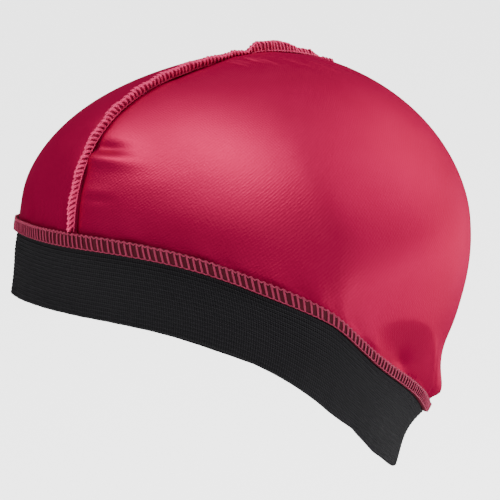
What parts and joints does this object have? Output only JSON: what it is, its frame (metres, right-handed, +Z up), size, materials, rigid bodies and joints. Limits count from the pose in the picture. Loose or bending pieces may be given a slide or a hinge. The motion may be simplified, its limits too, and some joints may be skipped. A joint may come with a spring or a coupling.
{
  "type": "wave cap",
  "caption": "Close-fitting stretch satin cap in two panels with an outside centre seam and a wide elastic band round its rim.",
  "frame": {"origin": "inside of the crown top, where the cap sits on the head", "axes": "+Z up as worn, -Y toward the forehead, +X toward the wearer's left"},
  "size_m": [0.169, 0.1827, 0.1844],
  "materials": {
    "satin": "raspberry red stretch satin, soft sheen",
    "elastic": "black woven elastic with fine lengthwise ribs, matt",
    "seam_thread": "dusty pink overlock thread over red satin edges"
  },
  "bodies": {
    "root": {"crown_left": "satin", "crown_right": "satin", "centre_seam": "seam_thread", "band": "elastic", "band_seam": "seam_thread"}
  },
  "joints": []
}
